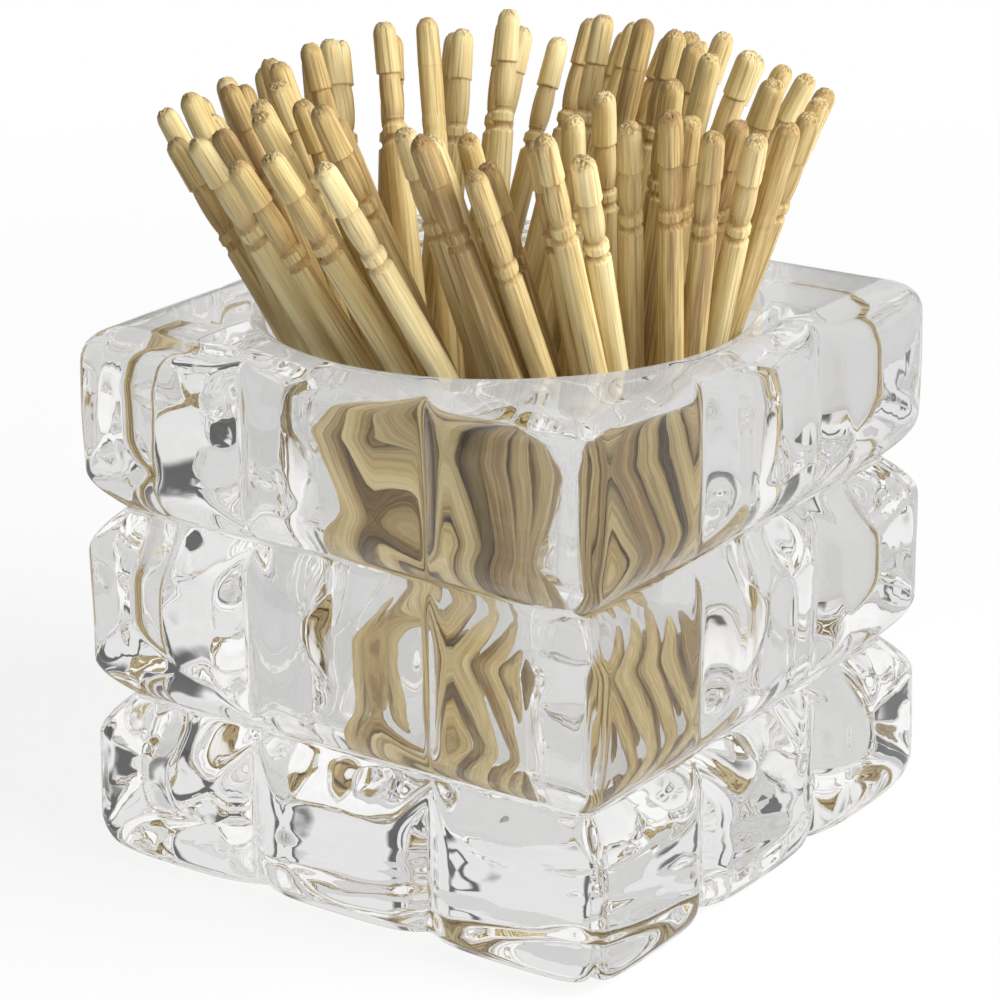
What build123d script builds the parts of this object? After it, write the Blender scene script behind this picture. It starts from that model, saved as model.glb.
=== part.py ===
from build123d import *
import os
import numpy as np

# Toothpick holder: a square block of pressed glass with a round tapered well, full of loose toothpicks.
# All sizes are in millimetres. The origin is the middle of the base, +Z is up and the sides face X and Y.

# Glass block
block_width = 57.0
block_height = 50.0
centre_column_width = 19.3
bottom_row_height = 15.4
middle_row_height = 17.8
row_groove_depth = 3.4
row_groove_half_width = 3.4
column_groove_depth = 2.0
column_groove_half_width = 2.3
edge_bevel = 3.0
base_bevel = 1.4

# Well, from its floor to its lip
floor_thickness = 11.6
floor_radius = 17.2
floor_rounding = 2.0
mouth_radius = 21.4
lip_rounding = 1.9

# Toothpick, turned from one stick: a long point below and a grooved head above
pick_length = 63.0
pick_diameter = 2.2
point_length = 6.0
point_diameter = 0.5
head_cap_length = 4.7
head_barrel_length = 3.9
head_ring_length = 1.1
head_groove_width = 0.5
head_groove_depth = 0.26
head_rounding = 0.8

# Fan of toothpicks, in rings round an open centre, with the twists in degrees
outer_ring_count = 33
middle_ring_count = 25
inner_ring_count = 18
ring_step = 3.6
outer_twist = 70.0
inner_twist = 60.0
pick_gap = 0.25
wall_gap = 0.25
seat_gap = 0.1
shift_aside = 3.0
shift_back = 1.0
foot_wander = 0.6
most_lift = 4.5
front_bearing = -55.0
fan_seed = 5

single_count = outer_ring_count + middle_ring_count
half_width = block_width / 2
pick_radius = pick_diameter / 2
point_radius = point_diameter / 2
lip_height = block_height - lip_rounding
foot_height = floor_thickness + point_radius + seat_gap
well_depth = lip_height - foot_height


# Radius of the well's wall at a height above the toothpicks' feet. Above the lip there is no wall.
def well_radius(rise):
    share = (rise + foot_height - floor_thickness) / (lip_height - floor_thickness)
    radius = floor_radius + (mouth_radius - floor_radius) * share
    return np.where(rise <= well_depth, radius, np.inf)


# The fan of toothpicks, as the places of their feet and of their axes at the lip, written x + yj.
# They start on evenly spread rings, with the feet of each ring turned against its heads, as in a twisted
# bundle, and shifted and scattered. Then all that come too close, at any height up to where a lifted one
# leaves the holder, push each other aside, and the wall of the well keeps the outer ones in. The inner ones
# are lifted together, so the tracks of their feet are kept clear too. Those in front rest a little higher.
def fan_of_toothpicks():
    chance = np.random.default_rng(fan_seed)
    pitch = pick_diameter + pick_gap
    lip_reach = mouth_radius - pick_radius - wall_gap
    ring_jitter, twist_wander, foot_spread = 0.3, 8.0, 1.12
    ring_counts = (outer_ring_count, middle_ring_count, inner_ring_count)
    ring_twists = (outer_twist, outer_twist, inner_twist)
    feet, lips = [], []
    for number, (ring_count, ring_twist) in enumerate(zip(ring_counts, ring_twists)):
        jitter = chance.uniform(-ring_jitter, ring_jitter, ring_count)
        turn = chance.uniform() + (np.arange(ring_count) + jitter) / ring_count
        twist = np.radians(ring_twist + chance.normal(0, twist_wander, ring_count))
        foot_radius = foot_spread * ring_count * pitch / (2 * np.pi)
        lips.append((lip_reach - number * ring_step) * np.exp(2j * np.pi * turn))
        feet.append(foot_radius * np.exp(1j * (2 * np.pi * turn + twist)))
    lip = np.concatenate(lips)
    count = len(lip)
    front = np.exp(1j * np.radians(front_bearing))
    scatter = chance.normal(0, foot_wander, count) + 1j * chance.normal(0, foot_wander, count)
    foot = np.concatenate(feet) + front * (1j * shift_aside - shift_back) + scatter

    level_count, most_steps, ease, slack = 21, 4000, 0.2, 0.05
    rises = np.append(np.linspace(0, 2 * pick_length, level_count), (point_length, well_depth))
    width = np.interp(rises, (0, point_length), (point_diameter, pick_diameter))
    along = (rises / well_depth)[:, None]
    itself = 10 * block_width * np.eye(count)
    among_heads = (rises <= pick_length)[:, None, None]
    for step in range(most_steps):
        points = foot + (lip - foot) * along
        apart = points[:, :, None] - points[:, None, :]
        distance = np.abs(apart) + itself
        stretch = np.hypot(1, np.abs(lip - foot) / well_depth)
        need = width[:, None, None] * np.maximum(stretch[:, None], stretch) + pick_gap
        short = np.clip(need - distance, 0, None)
        room = well_radius(rises)[:, None] - width[:, None] / 2 * stretch - wall_gap
        room[0] -= floor_rounding
        beyond = np.clip(np.abs(points) - room, 0, None)
        tracks = foot[single_count:] + (lip - foot)[single_count:].mean() * along
        beside = tracks[:, :, None] - points[:, None, :single_count]
        close = np.clip(need[:, single_count:, :single_count] - np.abs(beside), 0, None) * among_heads
        if max(short.max(), beyond.max(), close.max()) < slack * pick_gap:
            break
        push = (short * apart / distance).sum(axis=2) - beyond * np.exp(1j * np.angle(points))
        aside = close * np.exp(1j * np.angle(beside))
        push[:, single_count:] += aside.sum(axis=2)
        push[:, :single_count] -= aside.sum(axis=1)
        foot = foot + ease * (push * np.clip(1 - along, 0, None)).sum(axis=0)
        lip = lip + ease * (push * np.minimum(along, 1)).sum(axis=0)
    least_gap = (distance - need).min() + pick_gap
    print(f"{count} toothpicks, clear after {step} steps, least gap {least_gap:.2f} mm")
    ahead = np.clip((1 + (lip / front).real / lip_reach) / 2, 0, 1)
    lift = chance.uniform(0, most_lift, count) * ahead
    lift[single_count:] = 0
    return foot, lip, lift


# The foot and direction of each toothpick, outer ring first
def toothpick_axes():
    axes = []
    for foot, lip, lift in zip(*fan_of_toothpicks()):
        lean = lip - foot
        direction = Vector(lean.real, lean.imag, well_depth).normalized()
        axes.append(Axis(Vector(foot.real, foot.imag, foot_height) + direction * lift, direction))
    return axes


# One toothpick turned about its axis, drawn from the rounded point up to the head
def turned_toothpick(axis):
    groove_radius = pick_radius - head_groove_depth
    barrel_end_radius = pick_radius - head_groove_depth / 2
    top = pick_length - point_radius
    cap = top - head_cap_length
    barrel_top = cap - head_groove_width
    barrel = barrel_top - head_barrel_length
    ring = barrel - head_ring_length
    shaft = ring - head_groove_width
    side = axis.direction.cross(Vector(0, 1, 0)).normalized()
    with BuildPart() as toothpick:
        with BuildSketch(Plane(axis.position, x_dir=side, z_dir=side.cross(axis.direction))):
            with BuildLine():
                tip = CenterArc((0, 0), point_radius, -90, 90)
                stem = Polyline(
                    tip @ 1,
                    (pick_radius, point_length),
                    (pick_radius, shaft),
                    (groove_radius, shaft + head_groove_width / 2),
                    (pick_radius, ring),
                    (pick_radius, barrel - head_groove_width / 2),
                    (groove_radius, barrel),
                    (barrel_end_radius, barrel + head_groove_width),
                )
                barrel_side = ThreePointArc(
                    stem @ 1,
                    (pick_radius, (barrel + barrel_top) / 2),
                    (barrel_end_radius, barrel_top),
                )
                cap_side = Polyline(
                    barrel_side @ 1,
                    (groove_radius, cap - head_groove_width / 2),
                    (pick_radius, cap),
                    (pick_radius, top - head_rounding),
                )
                dome = TangentArc(cap_side @ 1, (pick_radius - head_rounding, top), tangent=(0, 1))
                Polyline(dome @ 1, (0, top), tip @ 0)
            make_face()
        revolve(axis=axis)
    return toothpick.part


# Outline of a V groove: it points inwards, at the origin of its sketch, and passes well out of the side
def groove_outline(groove_depth, groove_half_width):
    reach = 2 * groove_depth
    spread = 2 * groove_half_width
    return (0, 0), (reach, -spread), (reach, spread)


with BuildPart() as glass_block:
    with BuildSketch():
        Rectangle(block_width, block_width)
    extrude(amount=block_height)
    chamfer(glass_block.edges().group_by(Axis.Z)[1] + glass_block.edges().group_by(Axis.Z)[-1], edge_bevel)
    chamfer(glass_block.faces().sort_by(Axis.Z)[0].edges(), base_bevel)
    for quarter in range(4):
        outwards = Vector(1, 0, 0).rotate(Axis.Z, 90 * quarter)
        along_side = Vector(0, 1, 0).rotate(Axis.Z, 90 * quarter)
        row_bottom = outwards * (half_width - row_groove_depth)
        for groove_height in (bottom_row_height, bottom_row_height + middle_row_height):
            level = row_bottom + Vector(0, 0, groove_height)
            with BuildSketch(Plane(level, x_dir=outwards, z_dir=along_side)):
                Polygon(*groove_outline(row_groove_depth, row_groove_half_width), align=None)
            extrude(amount=block_width, both=True, mode=Mode.SUBTRACT)
        column_bottom = outwards * (half_width - column_groove_depth)
        for groove_place in (-centre_column_width / 2, centre_column_width / 2):
            with BuildSketch(Plane(column_bottom + along_side * groove_place, x_dir=outwards)):
                Polygon(*groove_outline(column_groove_depth, column_groove_half_width), align=None)
            extrude(amount=block_height, mode=Mode.SUBTRACT)
    with BuildSketch(Plane.XZ):
        with BuildLine():
            wall = Polyline(
                (0, floor_thickness),
                (floor_radius, floor_thickness),
                (mouth_radius, lip_height),
            )
            lip = CenterArc((mouth_radius + lip_rounding, lip_height), lip_rounding, 180, -90)
            above_lip = block_height + lip_rounding
            Polyline(lip @ 1, ((lip @ 1).X, above_lip), (0, above_lip), wall @ 0)
        well_profile = make_face()
        fillet(well_profile.vertices().group_by(Axis.Y)[0].sort_by(Axis.X)[-1], floor_rounding)
    revolve(axis=Axis.Z, mode=Mode.SUBTRACT)

axes = toothpick_axes()
toothpicks = [turned_toothpick(axis) for axis in axes]

with BuildPart() as inner_toothpicks:
    add(toothpicks[single_count:])

os.makedirs("parts", exist_ok=True)
glass_block.part.label = "glass_block"
export_step(glass_block.part, "parts/glass_block.step")
for number, toothpick in enumerate(toothpicks[:single_count], start=1):
    toothpick.label = f"toothpick_{number:02d}"
    export_step(toothpick, f"parts/{toothpick.label}.step")
inner_toothpicks.part.label = "inner_toothpicks"
export_step(inner_toothpicks.part, "parts/inner_toothpicks.step")
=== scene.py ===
import math

import bpy
import numpy as np
from mathutils import Matrix, Vector


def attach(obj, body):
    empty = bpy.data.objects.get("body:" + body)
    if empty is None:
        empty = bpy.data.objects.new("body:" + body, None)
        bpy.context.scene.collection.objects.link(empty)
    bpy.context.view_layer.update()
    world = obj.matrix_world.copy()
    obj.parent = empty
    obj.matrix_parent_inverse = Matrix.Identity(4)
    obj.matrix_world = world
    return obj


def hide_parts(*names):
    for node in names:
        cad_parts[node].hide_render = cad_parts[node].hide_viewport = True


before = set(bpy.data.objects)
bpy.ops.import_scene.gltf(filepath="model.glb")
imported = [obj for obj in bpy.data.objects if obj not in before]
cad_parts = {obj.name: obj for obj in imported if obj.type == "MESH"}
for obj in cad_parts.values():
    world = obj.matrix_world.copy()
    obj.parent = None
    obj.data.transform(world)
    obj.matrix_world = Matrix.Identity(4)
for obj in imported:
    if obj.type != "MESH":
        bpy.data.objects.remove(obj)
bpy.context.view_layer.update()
scene = bpy.context.scene
scene.view_settings.view_transform = "Standard"
millimetre = 0.001


# Faces of a grid whose rows are closed rings: each quad joins two rings, the last column joins the first.
def ringFaces(rowCount, columnCount):
    row, column = np.mgrid[0 : rowCount - 1, 0:columnCount]
    following = (column + 1) % columnCount
    low = row * columnCount
    high = low + columnCount
    return np.stack([low + column, low + following, high + following, high + column], -1).reshape(-1, 4)


# Triangles that close one ring to a pole: every edge of the ring joined to the pole's point.
def poleFaces(ringStart, columnCount, pole, upwards):
    column = np.arange(columnCount)
    following = (column + 1) % columnCount
    near, far = (column, following) if upwards else (following, column)
    return np.stack([ringStart + near, ringStart + far, np.full(columnCount, pole)], -1)


# A smooth-shaded mesh object at the origin, from points in millimetres and lists of faces.
def meshPiece(name, points, faceSets, material):
    mesh = bpy.data.meshes.new(name)
    faces = [face for faceSet in faceSets for face in faceSet.tolist()]
    mesh.from_pydata((points * millimetre).tolist(), [], faces)
    mesh.polygons.foreach_set("use_smooth", np.ones(len(faces), bool))
    mesh.materials.append(material)
    mesh.update()
    piece = bpy.data.objects.new(name, mesh)
    scene.collection.objects.link(piece)
    return piece


# Smooth minimum: the lower value, rounded off by a parabola where two come within the blend.
def softMin(first, second, blend):
    overlap = np.clip(1 - np.abs(first - second) / blend, 0, None)
    return np.minimum(first, second) - blend / 4 * overlap**2


def softMax(first, second, blend):
    return -softMin(-first, -second, blend)


# Steps smoothly from 0 to 1 between two places.
def ease(value, low, high):
    share = np.clip((value - low) / (high - low), 0, 1)
    return share * share * (3 - 2 * share)


# Sum of a few sine waves of one length, running in seeded directions, from -1 to 1 or so.
def waves(points, length, seed, count=7):
    chance = np.random.default_rng(seed)
    heading = chance.normal(size=(count, 3))
    heading *= 2 * np.pi / length / np.linalg.norm(heading, axis=1, keepdims=True)
    phase = chance.uniform(0, 2 * np.pi, count)
    return np.sin(points @ heading.T + phase).sum(-1) / math.sqrt(count)


# Places from low to high that crowd together round the given spots, by adding up a bumpy density.
def crowdedPlaces(low, high, count, spots, reach, strength, fineCount=4001):
    fine = np.linspace(low, high, fineCount)
    density = 1 + strength * np.exp(-(((fine[:, None] - np.array(spots)) / reach) ** 2)).sum(1)
    total = np.concatenate([[0], np.cumsum((density[1:] + density[:-1]) / 2)])
    return np.interp(np.linspace(0, total[-1], count), total, fine)


# Shader helpers: a node with its settings and inputs, and a link where an input is a socket.
def addNode(tree, kind, inputs=None, **settings):
    node = tree.nodes.new(kind)
    for key, value in settings.items():
        setattr(node, key, value)
    for key, value in (inputs or {}).items():
        if isinstance(value, bpy.types.NodeSocket):
            tree.links.new(value, node.inputs[key])
        else:
            node.inputs[key].default_value = value
    return node


# A value moved from one range to another, and held within it.
def mapped(tree, value, low, high, start=0.0, end=1.0):
    inputs = {"Value": value, "From Min": low, "From Max": high, "To Min": start, "To Max": end}
    return addNode(tree, "ShaderNodeMapRange", inputs).outputs["Result"]


def combined(tree, operation, first, second):
    return addNode(tree, "ShaderNodeMath", {0: first, 1: second}, operation=operation).outputs[0]


def noise(tree, place, scale, detail):
    inputs = {"Vector": place, "Scale": scale, "Detail": detail}
    return addNode(tree, "ShaderNodeTexNoise", inputs).outputs["Fac"]


def objectPlace(tree):
    return addNode(tree, "ShaderNodeTexCoord").outputs["Object"]


def newMaterial(name):
    material = bpy.data.materials.new(name)
    material.use_nodes = True
    shader = material.node_tree.nodes["Principled BSDF"]
    return material, material.node_tree, shader


def showSurface(tree, socket):
    tree.links.new(socket, tree.nodes["Material Output"].inputs["Surface"])


# Linear colour from a screen colour in steps of 255.
def linearColour(red, green, blue):
    share = np.array([red, green, blue]) / 255
    return (*np.where(share <= 0.04045, share / 12.92, ((share + 0.055) / 1.055) ** 2.4), 1.0)


# Glass block, in millimetres. It follows its solid, with the unevenness of pressed glass: outer cells that
# fall off towards the corners, pillowed cells, sharp upright corners, waves, and a recessed, rippled
# underside. Waves are pairs of a height and a length, and noises of a scale and a detail. Crowding draws the
# grid together round grooves and corners.
glass = {
    "halfWidth": 28.25,
    "height": 50.0,
    "columnGroove": 9.65,
    "rowGrooves": (15.4, 33.2),
    "grooveDepth": 3.4,
    "columnDepth": 2.0,
    "columnSlope": 0.78,
    "pillow": 0.35,
    "cornerSag": 0.4,
    "cornerBevel": 0.9,
    "cornerBlend": 0.5,
    "topBevel": 2.0,
    "baseBevel": 1.4,
    "baseArch": 1.6,
    "recess": 0.9,
    "recessEdge": (20.0, 22.8),
    "edgeBlend": 2.2,
    "columnBlend": 1.2,
    "valleyBlend": 0.3,
    "sweepRise": 5.0,
    "sweepReach": 4.5,
    "leastRim": 0.4,
    "leastSine": 0.2,
    "leastLean": 0.05,
    "floorHeight": 11.6,
    "floorRadius": 17.2,
    "floorRounding": 2.0,
    "mouthRadius": 21.4,
    "lipRounding": 1.9,
    "sideWaves": ((0.06, 12.0), (0.01, 5.0)),
    "wellWaves": ((0.09, 11.0), (0.015, 6.0)),
    "baseWaves": ((0.12, 9.0), (0.03, 4.5)),
    "wellWaveLift": 1.6,
    "baseWaveLift": 1.2,
    "waveFade": 1.5,
    "waveInnermost": 12,
    "sideSeed": 4,
    "wellSeed": 9,
    "baseSeed": 14,
    "columnsPerSide": 96,
    "sideRows": 98,
    "baseCircles": 34,
    "edgeSteps": 17,
    "roundingSteps": 11,
    "rimSteps": 6,
    "wallSteps": 38,
    "floorSteps": 14,
    "crowdReach": 2.2,
    "columnCrowding": 2.2,
    "rowCrowding": 2.5,
    "recessCrowding": (1.2, 3.0),
    "innermostCircle": 1.5,
    "innermostShare": 0.06,
    "footMargin": 0.4,
    "footShares": (0.25, 0.5, 0.75),
    "unevenness": 0.012,
    "unevenNoise": (420.0, 1.0),
    "smear": 0.03,
    "smearNoise": (160.0, 3.0),
    "smearRange": (0.5, 0.75),
    "tint": (0.985, 0.985, 0.98, 1),
    "ior": 1.5,
}


# Place within a cell of a row of cells, squared: 0 in the middle of the cell and 1 at the bounds given.
def cellPlace(value, bounds):
    number = np.clip(np.searchsorted(bounds, value) - 1, 0, len(bounds) - 2)
    low, high = np.array(bounds)[number], np.array(bounds)[number + 1]
    return np.clip((2 * value - low - high) / (high - low), -1, 1) ** 2


# Distance from the axis to the outside, by bearing from the nearest side and by height: the nearest of the
# side plane, the corner bevel, the row grooves and the column grooves, blended so that ridges are rounded.
# Each cell of the side plane is a slight pillow, which falls off as the square from its middle, and the outer
# columns of cells fall off in the same way towards the corner.
def sideRadius(cosine, sine, height):
    half, depth, place = glass["halfWidth"], glass["grooveDepth"], glass["columnGroove"]
    blend, corner, slope = glass["edgeBlend"], glass["cornerBlend"], glass["columnSlope"]
    nextSide = np.maximum(sine, glass["leastSine"])
    across = cellPlace(half * sine / cosine, (-place, place, half))
    upright = cellPlace(height, (0, *glass["rowGrooves"], glass["height"]))
    outermost = np.clip((half * sine / cosine - place) / (half - place), 0, 1)
    side = half - glass["pillow"] * (across + upright) - glass["cornerSag"] * outermost**2
    cornerHalf = half - glass["pillow"] - glass["cornerSag"]
    reach = softMin(side / cosine, (2 * cornerHalf - glass["cornerBevel"]) / (cosine + sine), corner)
    reach = softMin(reach, half / nextSide, corner)
    for level in glass["rowGrooves"]:
        rise = softMax(height - level, level - height, glass["valleyBlend"])
        reach = softMin(reach, (half - depth + rise) / cosine, blend)
        reach = softMin(reach, (half - depth + rise) / nextSide, blend)
    lean = np.maximum(cosine - slope * sine, glass["leastLean"])
    outer = (half - glass["columnDepth"] - slope * place) / lean
    inner = (half - glass["columnDepth"] + slope * place) / (cosine + slope * sine)
    return softMin(reach, softMax(outer, inner, glass["valleyBlend"]), glass["columnBlend"])


# Profile round the base's or the top's edge: it turns about a pivot inside the edge, and reaches out to the
# nearest of the side, the bevel and the flat. Gives distances from the axis and rises above the pivot.
def edgeSweep(cosine, sine, edgeSide, sweepReach, bevel):
    rise = glass["sweepRise"]
    blend = glass["edgeBlend"] / rise
    pivot = edgeSide - sweepReach
    sweep = np.linspace(0, np.pi / 2, glass["edgeSteps"])[:, None]
    out, up = np.cos(sweep), np.sin(sweep)
    tiny = 1e-3
    edge = softMin(1 / np.maximum(out, tiny), 1 / np.maximum(up, tiny), blend)
    for share in (cosine, sine):
        room = glass["halfWidth"] - bevel + rise - pivot * share
        edge = softMin(edge, room / (sweepReach * out * share + rise * up), blend)
    return pivot + edge * sweepReach * out, edge * rise * up


# Bearings of the grid's columns all the way round, with the cosine and sine of each from its nearest side.
def gridBearings():
    half, column = glass["halfWidth"], glass["columnGroove"]
    spots = (-half, -column, column, half)
    count = glass["columnsPerSide"] + 1
    across = crowdedPlaces(-half, half, count, spots, glass["crowdReach"], glass["columnCrowding"])[:-1]
    bearing = np.arctan2(across, half)
    turn = np.concatenate([bearing + quarter * np.pi / 2 for quarter in range(4)])
    return turn, np.tile(np.cos(bearing), 4), np.tile(np.abs(np.sin(bearing)), 4)


# How far in a place on the underside lies within the recess: 1 in its middle and 0 on the foot round it.
def recessShare(radius):
    return 1 - ease(radius, *glass["recessEdge"])


# Rows of the outside as radii and heights: the underside, the base's edge, the side, the top's edge and the
# flat rim. The base's edge arches up between the middles of its cells.
def outsideRows(cosine, sine):
    half, height, rise = glass["halfWidth"], glass["height"], glass["sweepRise"]
    column, crowdReach = glass["columnGroove"], glass["crowdReach"]
    edgeSide = sideRadius(cosine, sine, np.full_like(cosine, height - rise))
    mouth = glass["mouthRadius"] + glass["lipRounding"]
    sweepReach = np.minimum(glass["sweepReach"], edgeSide - mouth - glass["leastRim"])
    pivot = edgeSide - sweepReach
    topRadius, topUp = edgeSweep(cosine, sine, edgeSide, sweepReach, glass["topBevel"])
    arch = cellPlace(half * sine / cosine, (-column, column, half)) ** 2
    baseBevel = glass["baseBevel"] + glass["baseArch"] * arch
    baseRadius, baseUp = edgeSweep(cosine, sine, edgeSide, sweepReach, baseBevel)
    heights = crowdedPlaces(rise, height - rise, glass["sideRows"], glass["rowGrooves"], crowdReach,
                            glass["rowCrowding"])[1:-1, None]
    footEdge = glass["recessEdge"][1] + glass["footMargin"]
    circles = crowdedPlaces(glass["innermostCircle"], footEdge, glass["baseCircles"], glass["recessEdge"],
                            *glass["recessCrowding"])[:, None] + 0 * pivot
    foot = footEdge + (pivot - footEdge) * np.array(glass["footShares"])[:, None]
    underside = np.concatenate([circles, foot])
    rimRadius = pivot + (mouth - pivot) * np.linspace(0, 1, glass["rimSteps"])[1:-1, None]
    return [
        (underside, glass["recess"] * recessShare(underside)),
        (baseRadius[::-1], (rise - baseUp)[::-1]),
        (sideRadius(cosine, sine, heights), np.broadcast_to(heights, (len(heights), len(cosine)))),
        (topRadius, height - rise + topUp),
        (rimRadius, np.full_like(rimRadius, height)),
    ]


# Profile of the well as radii and heights: over the rounded lip, down the straight tapered wall, round the
# fillet at its foot and in towards the middle of the floor.
def wellProfile():
    steps, rounding = glass["roundingSteps"], glass["floorRounding"]
    lipTurn = np.linspace(0, 1, steps) * (np.pi / 2)
    lipRadius = glass["mouthRadius"] + glass["lipRounding"] - glass["lipRounding"] * np.sin(lipTurn)
    lipUp = glass["height"] - glass["lipRounding"] * (1 - np.cos(lipTurn))
    slope = math.atan2(glass["mouthRadius"] - glass["floorRadius"], lipUp[-1] - glass["floorHeight"])
    turnSpan = np.pi / 2 - slope
    filletTurn = np.linspace(0, turnSpan, steps)
    centre = glass["floorRadius"] - rounding * math.tan(turnSpan / 2)
    filletRadius = centre + rounding * np.cos(filletTurn + slope)
    filletUp = glass["floorHeight"] + rounding - rounding * np.sin(filletTurn + slope)
    wallShare = np.linspace(0, 1, glass["wallSteps"])[1:-1]
    wallRadius = lipRadius[-1] + (filletRadius[0] - lipRadius[-1]) * wallShare
    wallUp = lipUp[-1] + (filletUp[0] - lipUp[-1]) * wallShare
    floorRadius = filletRadius[-1] * np.linspace(1, glass["innermostShare"], glass["floorSteps"])[1:]
    floorUp = np.full_like(floorRadius, glass["floorHeight"])
    wellRadius = np.concatenate([lipRadius, wallRadius, filletRadius, floorRadius])[:, None]
    wellUp = np.concatenate([lipUp, wallUp, filletUp, floorUp])[:, None]
    return wellRadius, wellUp


# The block as one closed surface: bearing runs round the axis, and the profile runs from the middle of the
# base out, up the side, over the top, down over the lip into the well and to the middle of its floor. Waves
# then push the sides and the well in and out, and the underside up.
def glassSurface():
    turn, cosine, sine = gridBearings()
    rows = outsideRows(cosine, sine)
    underside = rows[0][0]
    outerRows = sum(len(radii) for radii, heights in rows[:-1])
    wellRadius, wellUp = wellProfile()
    full = np.ones_like(turn)
    rows.append((wellRadius * full, wellUp * full))
    radius = np.concatenate([radii for radii, heights in rows])
    upwards = np.concatenate([heights for radii, heights in rows])
    points = np.stack([radius * np.cos(turn), radius * np.sin(turn), upwards], -1)

    wave = np.zeros_like(radius)
    for number, (size, length) in enumerate(glass["sideWaves"]):
        wave[:outerRows] += size * waves(points[:outerRows], length, glass["sideSeed"] + number)
    for number, (size, length) in enumerate(glass["wellWaves"]):
        lifted = waves(points[outerRows:], length, glass["wellSeed"] + number) + glass["wellWaveLift"]
        wave[outerRows:] += size * lifted
    wave *= np.clip(np.abs(upwards) / glass["waveFade"], 0, 1) * (radius > glass["waveInnermost"])
    points[..., :2] *= (1 + wave / radius)[..., None]
    below = slice(0, len(underside))
    for number, (size, length) in enumerate(glass["baseWaves"]):
        ripple = waves(points[below], length, glass["baseSeed"] + number) + glass["baseWaveLift"]
        points[below, :, 2] += size * ripple * recessShare(underside)

    rowCount, columnCount = radius.shape
    poles = np.array([[0, 0, points[0, :, 2].mean()], [0, 0, glass["floorHeight"]]])
    allPoints = np.concatenate([points.reshape(-1, 3), poles])
    gridCount = rowCount * columnCount
    lastRing = gridCount - columnCount
    faceSets = [
        ringFaces(rowCount, columnCount),
        poleFaces(0, columnCount, gridCount, False),
        poleFaces(lastRing, columnCount, gridCount + 1, True),
    ]
    return allPoints, faceSets


# Clear glass: a faint unevenness of the pressing bends the light, and wiping leaves very faint smears.
def clearGlass():
    material, tree, shader = newMaterial("clearGlass")
    place = objectPlace(tree)
    smear = noise(tree, place, *glass["smearNoise"])
    dull = mapped(tree, smear, *glass["smearRange"], 0.0, glass["smear"])
    tree.links.new(dull, shader.inputs["Roughness"])
    uneven = noise(tree, place, *glass["unevenNoise"])
    depth = glass["unevenness"] * millimetre
    bump = addNode(tree, "ShaderNodeBump", {"Height": uneven, "Strength": 1.0, "Distance": depth})
    tree.links.new(bump.outputs["Normal"], shader.inputs["Normal"])
    shader.inputs["Base Color"].default_value = glass["tint"]
    shader.inputs["Transmission Weight"].default_value = 1.0
    shader.inputs["IOR"].default_value = glass["ior"]
    return material


glassPoints, glassFaces = glassSurface()
glassPiece = meshPiece("glassBlock", glassPoints, glassFaces, clearGlass())
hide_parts("glass_block")
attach(glassPiece, "glass_block")
print(f"glass block: {len(glassPoints)} points")

# Toothpick, in millimetres. The head's cuts are measured down from its top. Cut scales say how deep a pick is
# turned, with their chances, and the crowding draws rings together round the cuts and at the point.
pick = {
    "length": 63.0,
    "radius": 1.1,
    "pointLength": 6.0,
    "pointRadius": 0.25,
    "pointBulge": 0.7,
    "pointBlend": 0.15,
    "capLength": 4.6,
    "capTaper": 0.1,
    "ledge": 0.3,
    "ledgeWidth": 0.14,
    "barrelLength": 4.1,
    "barrelSwell": 0.7,
    "barrelEdge": 0.1,
    "beadLength": 1.1,
    "beadCut": 0.05,
    "grooveWidth": 0.5,
    "grooveSpread": 0.85,
    "headRounding": 1.25,
    "headFlat": 0.3,
    "headEnd": 11.6,
    "headShare": 0.72,
    "headSpots": (0.0, 4.7, 9.0, 10.6),
    "headCrowding": (0.6, 3.0),
    "pointCrowding": (1.0, 6.0),
    "endInset": 0.01,
    "cutScales": (0.12, 0.7, 0.9, 1.05, 1.2),
    "cutChances": (0.12, 0.2, 0.26, 0.26, 0.16),
    "cutShift": 0.3,
    "fibreDepth": 0.03,
    "fibreCount": 18,
    "fibreSets": 3,
    "fibreStep": 5,
    "fibreFading": 0.5,
    "fibreDrift": 0.025,
    "fibreMiddle": 0.64,
    "oval": 0.03,
    "headFray": 0.2,
    "leastFray": 0.3,
    "frayReach": (0.7, 0.1),
    "topTilt": 0.35,
    "tiltReach": 1.6,
    "bow": 0.06,
    "grainSpread": 90,
    "around": 40,
    "along": 104,
    "weathered": "toothpick_14",
    "seed": 21,
}


# The picks of one CAD node as their lower tips and directions: its mesh falls apart into separate solids,
# and the long axis of each comes from its spread, with the thin end below.
def pickAxes(node):
    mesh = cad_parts[node].data
    raw = np.empty(len(mesh.vertices) * 3)
    mesh.vertices.foreach_get("co", raw)
    places, same = np.unique(np.round(raw.reshape(-1, 3) / millimetre, 4), axis=0, return_inverse=True)
    edges = np.empty(len(mesh.edges) * 2, int)
    mesh.edges.foreach_get("vertices", edges)
    edges = same.reshape(-1)[edges].reshape(-1, 2)
    label = np.arange(len(places))
    settled = False
    while not settled:
        lowest = label.copy()
        np.minimum.at(lowest, edges[:, 0], label[edges[:, 1]])
        np.minimum.at(lowest, edges[:, 1], label[edges[:, 0]])
        lowest = lowest[lowest]
        settled = np.array_equal(lowest, label)
        label = lowest
    axes = []
    for solid in np.unique(label):
        cloud = places[label == solid]
        middle = cloud.mean(0)
        direction = np.linalg.svd(cloud - middle, full_matrices=False)[2][0]
        direction = direction * np.sign(direction[2])
        share = (cloud - middle) @ direction
        axes.append((middle + direction * share.min(), direction))
    return axes


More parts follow.
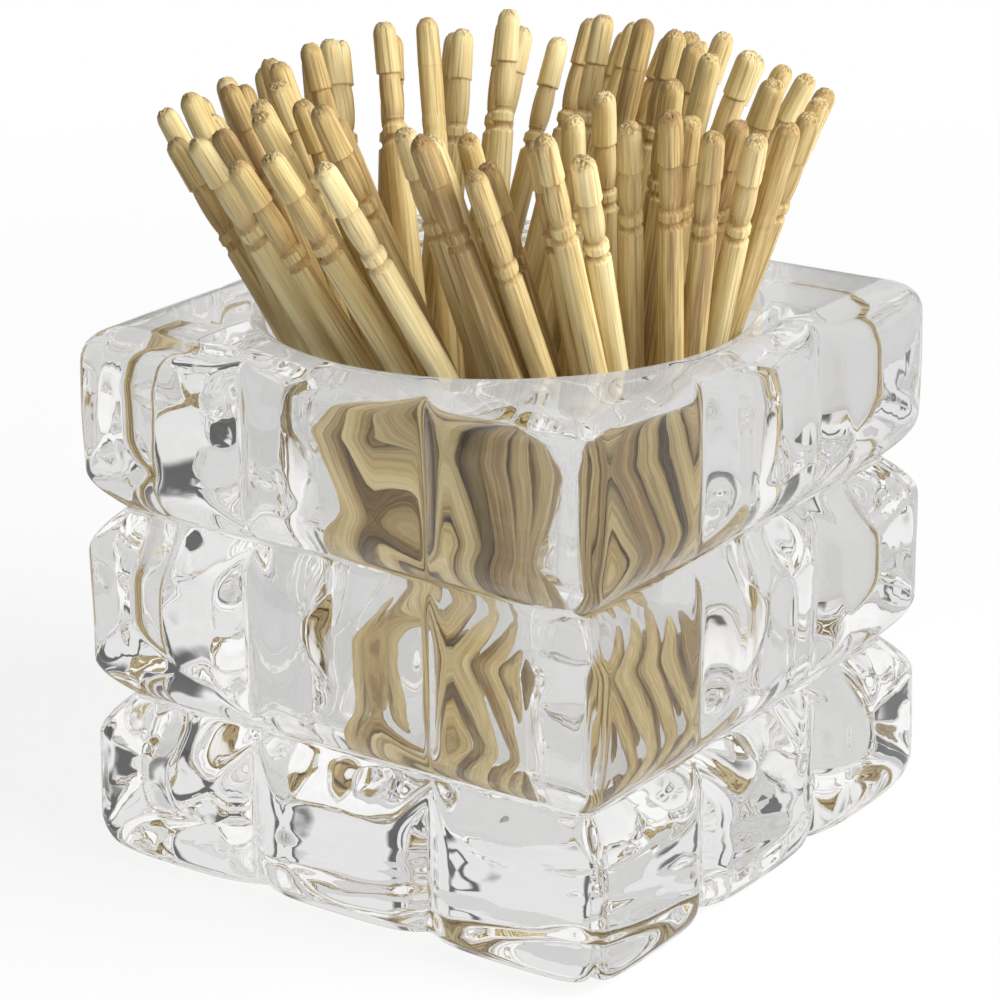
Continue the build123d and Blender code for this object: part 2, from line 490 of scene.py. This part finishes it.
# Radius of a toothpick by the distance from its top: a rounded, slightly tapered cap with a ledge under it,
# a barrel that swells in its middle, a bead between two grooves, the shaft and the point, which thickens as a
# power of the height above its tip. Also how deep the head is cut there, from 0 to 1.
def pickRadius(fromTop, cutScale, shift):
    radius, groove = pick["radius"], pick["grooveWidth"]
    capEnd = pick["capLength"] + shift
    barrelEnd = capEnd + pick["barrelLength"]
    beadEnd = barrelEnd + groove + pick["beadLength"]
    swell = np.clip(1 - ((fromTop - (capEnd + barrelEnd) / 2) / (pick["barrelLength"] / 2)) ** 2, 0, 1)
    edge = pick["barrelEdge"]
    cut = ease(fromTop, capEnd, capEnd + pick["ledgeWidth"])
    cut = cut * (1 - ease(fromTop, barrelEnd - edge, barrelEnd + edge))
    cut = cut * (1 - pick["barrelSwell"] * np.sqrt(swell))
    for middle in (barrelEnd + groove / 2, beadEnd + groove / 2):
        dip = np.clip(1 - np.abs(fromTop - middle) / (groove * pick["grooveSpread"]), 0, 1)
        cut = np.maximum(cut, dip * (2 - dip))
    beadMiddle = (barrelEnd + beadEnd + groove) / 2
    bead = np.clip(1 - np.abs(fromTop - beadMiddle) / pick["beadLength"], 0, 1)
    taper = pick["capTaper"] * np.clip(1 - fromTop / capEnd, 0, 1)
    outline = radius - pick["ledge"] * cutScale * cut - taper - pick["beadCut"] * cutScale * bead
    height = pick["length"] - fromTop
    thicken = (height / pick["pointLength"]) ** pick["pointBulge"]
    point = pick["pointRadius"] + (radius - pick["pointRadius"]) * thicken
    outline = softMin(outline, point, pick["pointBlend"])
    tipRound = np.clip(height / pick["pointRadius"], 0, 1)
    outline = outline * np.sqrt(1 - (1 - tipRound) ** 2)
    roof = np.clip(1 - fromTop / pick["headRounding"], 0, 1)
    dome = pick["headFlat"] + (outline - pick["headFlat"]) * np.sqrt(1 - roof**2)
    return np.where(fromTop < pick["headRounding"], dome, outline), np.clip(cut, 0, 1) * cutScale


# One toothpick as rings along its axis: radius by length, with fibre ridges round it that drift along it, a
# slight bow, and a frayed top whose fibres end at different heights. Also the place in the wood's grain and,
# as its look, the pick's tint, the depth of the cut and the distance from the top.
def pickSurface(tip, direction, chance, weathered):
    around, along, length = pick["around"], pick["along"], pick["length"]
    cutScale = chance.choice(pick["cutScales"], p=pick["cutChances"])
    shift = chance.uniform(-pick["cutShift"], pick["cutShift"])
    headEnd, headCount = pick["headEnd"], int(along * pick["headShare"])
    head = crowdedPlaces(0.0, headEnd, headCount, pick["headSpots"], *pick["headCrowding"])
    shaft = crowdedPlaces(headEnd, length, along - headCount + 1, (length,), *pick["pointCrowding"])[1:]
    fromTop = np.concatenate([head, shaft])
    fromTop[0], fromTop[-1] = pick["endInset"], length - pick["endInset"]
    turn = np.linspace(0, 2 * np.pi, around, endpoint=False)
    radius, cut = pickRadius(fromTop, cutScale, shift)
    phase = chance.uniform(0, 2 * np.pi, pick["fibreSets"] + 1)
    fibres = np.zeros((len(fromTop), around))
    for number in range(pick["fibreSets"]):
        count = pick["fibreCount"] - pick["fibreStep"] * number
        drift = phase[number] + pick["fibreDrift"] * fromTop[:, None] * (number - 1)
        ridges = np.abs(np.sin((count * turn + drift) / 2)) - pick["fibreMiddle"]
        fibres += ridges / (1 + pick["fibreFading"] * number)
    oval = pick["oval"] * np.cos(2 * turn + phase[-1])
    ring = radius[:, None] * (1 + pick["fibreDepth"] * fibres + oval)
    fray = chance.uniform(pick["leastFray"], 1) * pick["headFray"]
    frayStart, frayFull = pick["frayReach"]
    frayShare = ease(-fromTop, -frayStart, -frayFull)[:, None]
    frayed = fray * chance.normal(size=(len(fromTop), around)) * frayShare
    tiltShare = ease(-fromTop, -pick["tiltReach"], 0)[:, None]
    tilt = chance.uniform(0, pick["topTilt"]) * np.cos(turn + phase[0]) * tiltShare
    height = (length - fromTop)[:, None] - np.abs(frayed) - np.abs(tilt) * ring
    bow = chance.uniform(-pick["bow"], pick["bow"], 2)
    bend = np.sin(np.pi * fromTop / length)[:, None]
    sideways = ring * np.cos(turn) + bow[0] * bend
    crossways = ring * np.sin(turn) + bow[1] * bend
    side = np.cross(direction, [0, 1, 0])
    side /= np.linalg.norm(side)
    other = np.cross(direction, side)
    points = tip + sideways[..., None] * side + crossways[..., None] * other + height[..., None] * direction
    poles = np.array([points[0].mean(0), tip])
    tint = chance.uniform() - weathered
    look = np.stack(np.broadcast_arrays(tint, cut[:, None], fromTop[:, None] + 0 * ring), -1)
    grain = np.stack(np.broadcast_arrays(sideways, crossways, height), -1)
    grain = grain + chance.uniform(-pick["grainSpread"], pick["grainSpread"], 3)
    gridCount = ring.size
    faces = [
        ringFaces(len(fromTop), around)[:, ::-1],
        poleFaces(0, around, gridCount, True),
        poleFaces(gridCount - around, around, gridCount + 1, False),
    ]
    endRows = [0, -1]
    return (
        np.concatenate([points.reshape(-1, 3), poles]),
        faces,
        np.concatenate([grain.reshape(-1, 3), grain[endRows].mean(1)]),
        np.concatenate([look.reshape(-1, 3), look[endRows].mean(1)]),
    )


# Bamboo's colours, the scale, stretch along the grain and detail of its streaks, and how strong each mark is.
wood = {
    "darkStraw": linearColour(164, 136, 90),
    "straw": linearColour(209, 184, 124),
    "paleStraw": linearColour(237, 221, 169),
    "strawPlace": 0.4,
    "poreColour": linearColour(128, 90, 48),
    "cutColour": linearColour(146, 102, 56),
    "endColour": linearColour(110, 70, 38),
    "fineStreaks": (5.0, 0.03, 3.0),
    "broadStreaks": (0.9, 0.03, 2.0),
    "poreStreaks": (3.2, 0.02, 1.0),
    "streakRange": (0.3, 0.7),
    "streakTone": 0.3,
    "tintTone": (-0.45, 0.85),
    "poreRange": (0.6, 0.72),
    "poreStrength": 0.55,
    "cutStrength": 0.5,
    "endReach": (1.1, 0.2),
    "endDots": (0.42, 0.6),
    "endStrength": 0.75,
    "roughness": (0.62, 0.48),
    "poreRelief": 0.6,
    "bumpStrength": 0.35,
    "bumpDepth": 0.15,
}


# Bamboo: pale straw with long fibre streaks, dark pores that show as streaks along the sides and dots on the
# cut top, browner in the turned grooves and on the end.
def bambooWood():
    material, tree, shader = newMaterial("bambooWood")
    grain = addNode(tree, "ShaderNodeAttribute", attribute_name="grain").outputs["Vector"]
    look = addNode(tree, "ShaderNodeAttribute", attribute_name="look").outputs["Vector"]
    parts = addNode(tree, "ShaderNodeSeparateXYZ", {"Vector": look})

    def streaks(scale, stretch, detail):
        spread = addNode(tree, "ShaderNodeMapping", {"Vector": grain, "Scale": (1, 1, stretch)})
        return noise(tree, spread.outputs["Vector"], scale, detail)

    def mixed(factor, first, second):
        node = addNode(tree, "ShaderNodeMix", data_type="RGBA")
        for socket, value in ((node.inputs[0], factor), (node.inputs[6], first), (node.inputs[7], second)):
            if isinstance(value, bpy.types.NodeSocket):
                tree.links.new(value, socket)
            else:
                socket.default_value = value
        return node.outputs[2]

    fine = streaks(*wood["fineStreaks"])
    broad = streaks(*wood["broadStreaks"])
    pores = streaks(*wood["poreStreaks"])
    tone = wood["streakTone"]
    fineTone, broadTone = (mapped(tree, part, *wood["streakRange"], -tone, tone) for part in (fine, broad))
    tintTone = mapped(tree, parts.outputs["X"], -1, 1, *wood["tintTone"])
    tone = combined(tree, "ADD", combined(tree, "ADD", fineTone, broadTone), tintTone)
    ramp = addNode(tree, "ShaderNodeValToRGB", {"Fac": tone})
    ramp.color_ramp.elements[0].color = wood["darkStraw"]
    ramp.color_ramp.elements[1].color = wood["paleStraw"]
    ramp.color_ramp.elements.new(wood["strawPlace"]).color = wood["straw"]
    dark = combined(tree, "MULTIPLY", mapped(tree, pores, *wood["poreRange"]), wood["poreStrength"])
    colour = mixed(dark, ramp.outputs["Color"], wood["poreColour"])
    cut = combined(tree, "MULTIPLY", parts.outputs["Y"], wood["cutStrength"])
    colour = mixed(cut, colour, wood["cutColour"])
    end = mapped(tree, parts.outputs["Z"], *wood["endReach"])
    endDots = combined(tree, "MULTIPLY", end, mapped(tree, fine, *wood["endDots"]))
    colour = mixed(combined(tree, "MULTIPLY", endDots, wood["endStrength"]), colour, wood["endColour"])
    tree.links.new(colour, shader.inputs["Base Color"])
    rough = mapped(tree, fine, *wood["streakRange"], *wood["roughness"])
    tree.links.new(rough, shader.inputs["Roughness"])
    relief = combined(tree, "SUBTRACT", fine, combined(tree, "MULTIPLY", dark, wood["poreRelief"]))
    bump = addNode(tree, "ShaderNodeBump", {"Height": relief, "Strength": wood["bumpStrength"],
                                            "Distance": wood["bumpDepth"] * millimetre})
    tree.links.new(bump.outputs["Normal"], shader.inputs["Normal"])
    return material


bamboo = bambooWood()
pickChance = np.random.default_rng(pick["seed"])
pickNodes = sorted(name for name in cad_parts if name.startswith("toothpick_"))
for node in pickNodes + ["inner_toothpicks"]:
    weathered = float(node == pick["weathered"])
    made = [pickSurface(tip, direction, pickChance, weathered) for tip, direction in pickAxes(node)]
    starts = np.cumsum([0] + [len(part[0]) for part in made])
    pickPoints = np.concatenate([part[0] for part in made])
    pickFaces = [faces + start for part, start in zip(made, starts) for faces in part[1]]
    pieceName = "".join(word.capitalize() for word in node.split("_"))
    piece = meshPiece(pieceName[0].lower() + pieceName[1:], pickPoints, pickFaces, bamboo)
    for index, label in ((2, "grain"), (3, "look")):
        values = np.concatenate([part[index] for part in made]).astype(np.float32)
        piece.data.attributes.new(label, "FLOAT_VECTOR", "POINT").data.foreach_set("vector", values.ravel())
    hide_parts(node)
    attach(piece, node)
print(f"toothpicks: {len(pickNodes) + 1} pieces")

# Floor, light and background, in metres. The tent is a grey cloth dome that only the glass sees. Its openings
# are pairs of a bearing from the camera and a half width, in degrees.
studio = {
    "floorDrop": 0.0003,
    "floorSize": 3.0,
    "floorWhite": (0.86, 0.86, 0.86, 1),
    "floorRoughness": 0.9,
    "floorGrey": 0.63,
    "floorGlow": 0.85,
    "floorFade": (0.09, 0.3),
    "worldLight": 0.38,
    "keyPower": 9.0,
    "keyPlace": (0.62, 0.08, 0.52),
    "keySize": 0.6,
    "keyTarget": (0, 0, 0.03),
    "flagPlace": -0.18,
    "flagReach": 0.5,
    "flagWeave": (300.0, 2.0),
    "flagBlack": (0.01, 0.03),
    "tentRadius": 1.6,
    "tentColumns": 360,
    "tentRows": 40,
    "tentLifts": (-0.35, 1.5),
    "tentGrey": 0.8,
    "tentTop": 1.0,
    "tentPaling": (0.3, 0.8),
    "tentNearKey": (0.88, 0.95),
    "tentDark": 0.09,
    "tentLight": 2.5,
    "tentWarmth": (1.0, 0.97, 0.91, 1),
    "tentOpenings": ((135, 13), (-75, 12), (0, 16), (172, 2), (190, 3), (206, 2)),
    "openingTop": (0.5, 0.35),
    "openingSoftness": 0.25,
    "lightBounces": 24,
    "glossyBounces": 12,
}

# Camera, on the photograph's viewing angle: turned and raised round a target on the axis, with a slight roll.
view = {
    "azimuth": 35.035,
    "elevation": 19.181,
    "distance": 0.326,
    "targetHeight": 0.0313,
    "roll": -0.695,
    "lens": 129.13,
    "sensorWidth": 36.0,
    "shiftX": -0.0107,
    "clipStart": 0.01,
}


# Light Path as one value: 1 for rays from the camera, and for those that glass reflects or passes on.
def seenDirectly(tree):
    path = addNode(tree, "ShaderNodeLightPath")
    seen = path.outputs["Is Camera Ray"]
    for ray in ("Is Glossy Ray", "Is Transmission Ray"):
        seen = combined(tree, "MAXIMUM", seen, path.outputs[ray])
    return seen


# White floor that keeps the object's shadow: part of it glows where it is seen, and the rest is lit. Far from
# the object all of it glows to the camera, so that it has no horizon.
def whiteFloor():
    material, tree, shader = newMaterial("whiteFloor")
    shader.inputs["Base Color"].default_value = studio["floorWhite"]
    shader.inputs["Roughness"].default_value = studio["floorRoughness"]
    away = addNode(tree, "ShaderNodeVectorMath", {0: objectPlace(tree)}, operation="LENGTH").outputs["Value"]
    fromCamera = addNode(tree, "ShaderNodeLightPath").outputs["Is Camera Ray"]
    fade = mapped(tree, away, *studio["floorFade"], studio["floorGlow"], 1.0)
    fade = combined(tree, "MULTIPLY", fade, fromCamera)
    part = combined(tree, "MULTIPLY", seenDirectly(tree), studio["floorGlow"])
    part = combined(tree, "MAXIMUM", part, fade)
    level = mapped(tree, fromCamera, 0.0, 1.0, studio["floorGrey"], 1.0)
    glow = addNode(tree, "ShaderNodeEmission", {"Color": (1, 1, 1, 1), "Strength": level})
    blended = addNode(tree, "ShaderNodeMixShader", {0: part, 1: shader.outputs[0], 2: glow.outputs[0]})
    showSurface(tree, blended.outputs[0])
    return material


def whiteWorld():
    world = bpy.data.worlds.new("whiteStudio")
    world.use_nodes = True
    tree = world.node_tree
    level = mapped(tree, seenDirectly(tree), 0.0, 1.0, studio["worldLight"], 1.0)
    tree.links.new(level, tree.nodes["Background"].inputs["Strength"])
    tree.nodes["Background"].inputs["Color"].default_value = (1, 1, 1, 1)
    scene.world = world


# Cloth whose glow is the level stored on it. It is brighter and warmer to the rays that light the toothpicks
# through the glass than to those that look at it.
def tentCloth():
    material, tree = newMaterial("tentCloth")[:2]
    tone = addNode(tree, "ShaderNodeAttribute", attribute_name="level").outputs["Fac"]
    lighting = addNode(tree, "ShaderNodeLightPath").outputs["Diffuse Depth"]
    strength = combined(tree, "MULTIPLY", tone, mapped(tree, lighting, 0.0, 1.0, 1.0, studio["tentLight"]))
    white = addNode(tree, "ShaderNodeEmission", {"Strength": strength})
    warm = addNode(tree, "ShaderNodeEmission", {"Strength": strength, "Color": studio["tentWarmth"]})
    glow = addNode(tree, "ShaderNodeMixShader", {0: lighting, 1: white.outputs[0], 2: warm.outputs[0]})
    showSurface(tree, glow.outputs[0])
    return material


# Dome round the scene, by bearing and height: grey at the sides, paler overhead and round the key light, dark
# in low openings at some bearings from the camera.
def lightTent():
    bearings = np.linspace(0, 2 * np.pi, studio["tentColumns"], endpoint=False)
    bearing, lift = np.meshgrid(bearings, np.linspace(*studio["tentLifts"], studio["tentRows"]))
    radius = studio["tentRadius"] / millimetre
    way = np.stack([np.cos(lift) * np.cos(bearing), np.cos(lift) * np.sin(bearing), np.sin(lift)], -1)
    fromCamera = np.degrees(bearing) + 90 - view["azimuth"]
    paling = ease(way[..., 2], *studio["tentPaling"])
    level = studio["tentGrey"] + (studio["tentTop"] - studio["tentGrey"]) * paling
    towardsKey = way @ np.array(studio["keyPlace"]) / np.linalg.norm(studio["keyPlace"])
    level = level + (studio["tentTop"] - level) * ease(towardsKey, *studio["tentNearKey"])
    openingTop, openingFull = studio["openingTop"]
    for middle, halfWidth in studio["tentOpenings"]:
        aside = np.abs((fromCamera - middle + 180) % 360 - 180)
        soft = halfWidth * studio["openingSoftness"]
        opening = ease(-aside, -halfWidth - soft, -halfWidth + soft)
        opening = opening * ease(-way[..., 2], -openingTop, -openingFull)
        level = level + (studio["tentDark"] - level) * opening
    rowCount, columnCount = level.shape
    crown = np.array([[0, 0, radius]])
    points = np.concatenate([(way * radius).reshape(-1, 3), crown])
    last = (rowCount - 1) * columnCount
    faces = [ringFaces(rowCount, columnCount), poleFaces(last, columnCount, len(points) - 1, True)]
    tent = meshPiece("lightTent", points, faces, tentCloth())
    levels = np.append(level.ravel(), studio["tentTop"]).astype(np.float32)
    tent.data.attributes.new("level", "FLOAT", "POINT").data.foreach_set("value", levels)
    tent.visible_camera = tent.visible_diffuse = tent.visible_shadow = False


# Black cloth upright on the camera's left, which only keeps light off.
def darkFlag():
    turn = math.radians(view["azimuth"])
    side = np.array([math.cos(turn), math.sin(turn), 0])
    ahead = np.array([math.sin(turn), -math.cos(turn), 0])
    material, tree, shader = newMaterial("flagCloth")
    weave = noise(tree, objectPlace(tree), *studio["flagWeave"])
    tree.links.new(mapped(tree, weave, 0.0, 1.0, *studio["flagBlack"]), shader.inputs["Base Color"])
    reach = studio["flagReach"]
    corners = [side * studio["flagPlace"] + ahead * across + np.array([0, 0, up])
               for across, up in ((-reach, 0), (reach, 0), (reach, reach), (-reach, reach))]
    flag = meshPiece("darkFlag", np.array(corners) / millimetre, [np.array([[0, 1, 2, 3]])], material)
    flag.visible_camera = flag.visible_glossy = flag.visible_transmission = False


# Large round lamp that the glass doesn't show.
def keyLight():
    lamp = bpy.data.lights.new("keyLight", "AREA")
    lamp.shape = "DISK"
    lamp.size = studio["keySize"]
    lamp.energy = studio["keyPower"]
    light = bpy.data.objects.new("keyLight", lamp)
    light.location = studio["keyPlace"]
    aim = Vector(studio["keyTarget"]) - Vector(studio["keyPlace"])
    light.rotation_euler = aim.to_track_quat("-Z", "Y").to_euler()
    light.visible_glossy = light.visible_transmission = False
    scene.collection.objects.link(light)


def makeCamera():
    turn, lift = math.radians(view["azimuth"]), math.radians(view["elevation"])
    outwards = Vector((math.sin(turn) * math.cos(lift), -math.cos(turn) * math.cos(lift), math.sin(lift)))
    camera = bpy.data.objects.new("camera", bpy.data.cameras.new("camera"))
    camera.data.lens = view["lens"]
    camera.data.sensor_width = view["sensorWidth"]
    camera.data.shift_x = view["shiftX"]
    camera.data.clip_start = view["clipStart"]
    roll = Matrix.Rotation(math.radians(view["roll"]), 4, "Z")
    facing = outwards.to_track_quat("Z", "Y").to_matrix().to_4x4()
    place = Vector((0, 0, view["targetHeight"])) + outwards * view["distance"]
    camera.matrix_world = Matrix.Translation(place) @ facing @ roll
    scene.collection.objects.link(camera)
    scene.camera = camera


makeCamera()
print("camera is set")

floorCorners = np.array([[-1, -1, 0], [1, -1, 0], [1, 1, 0], [-1, 1, 0]]) * studio["floorSize"] / millimetre
floorCorners[:, 2] = -studio["floorDrop"] / millimetre
floor = meshPiece("floor", floorCorners, [np.array([[0, 1, 2, 3]])], whiteFloor())
whiteWorld()
lightTent()
keyLight()
darkFlag()
scene.cycles.max_bounces = studio["lightBounces"]
scene.cycles.transmission_bounces = studio["lightBounces"]
scene.cycles.glossy_bounces = studio["glossyBounces"]
print("floor, world, tent and lights are set")
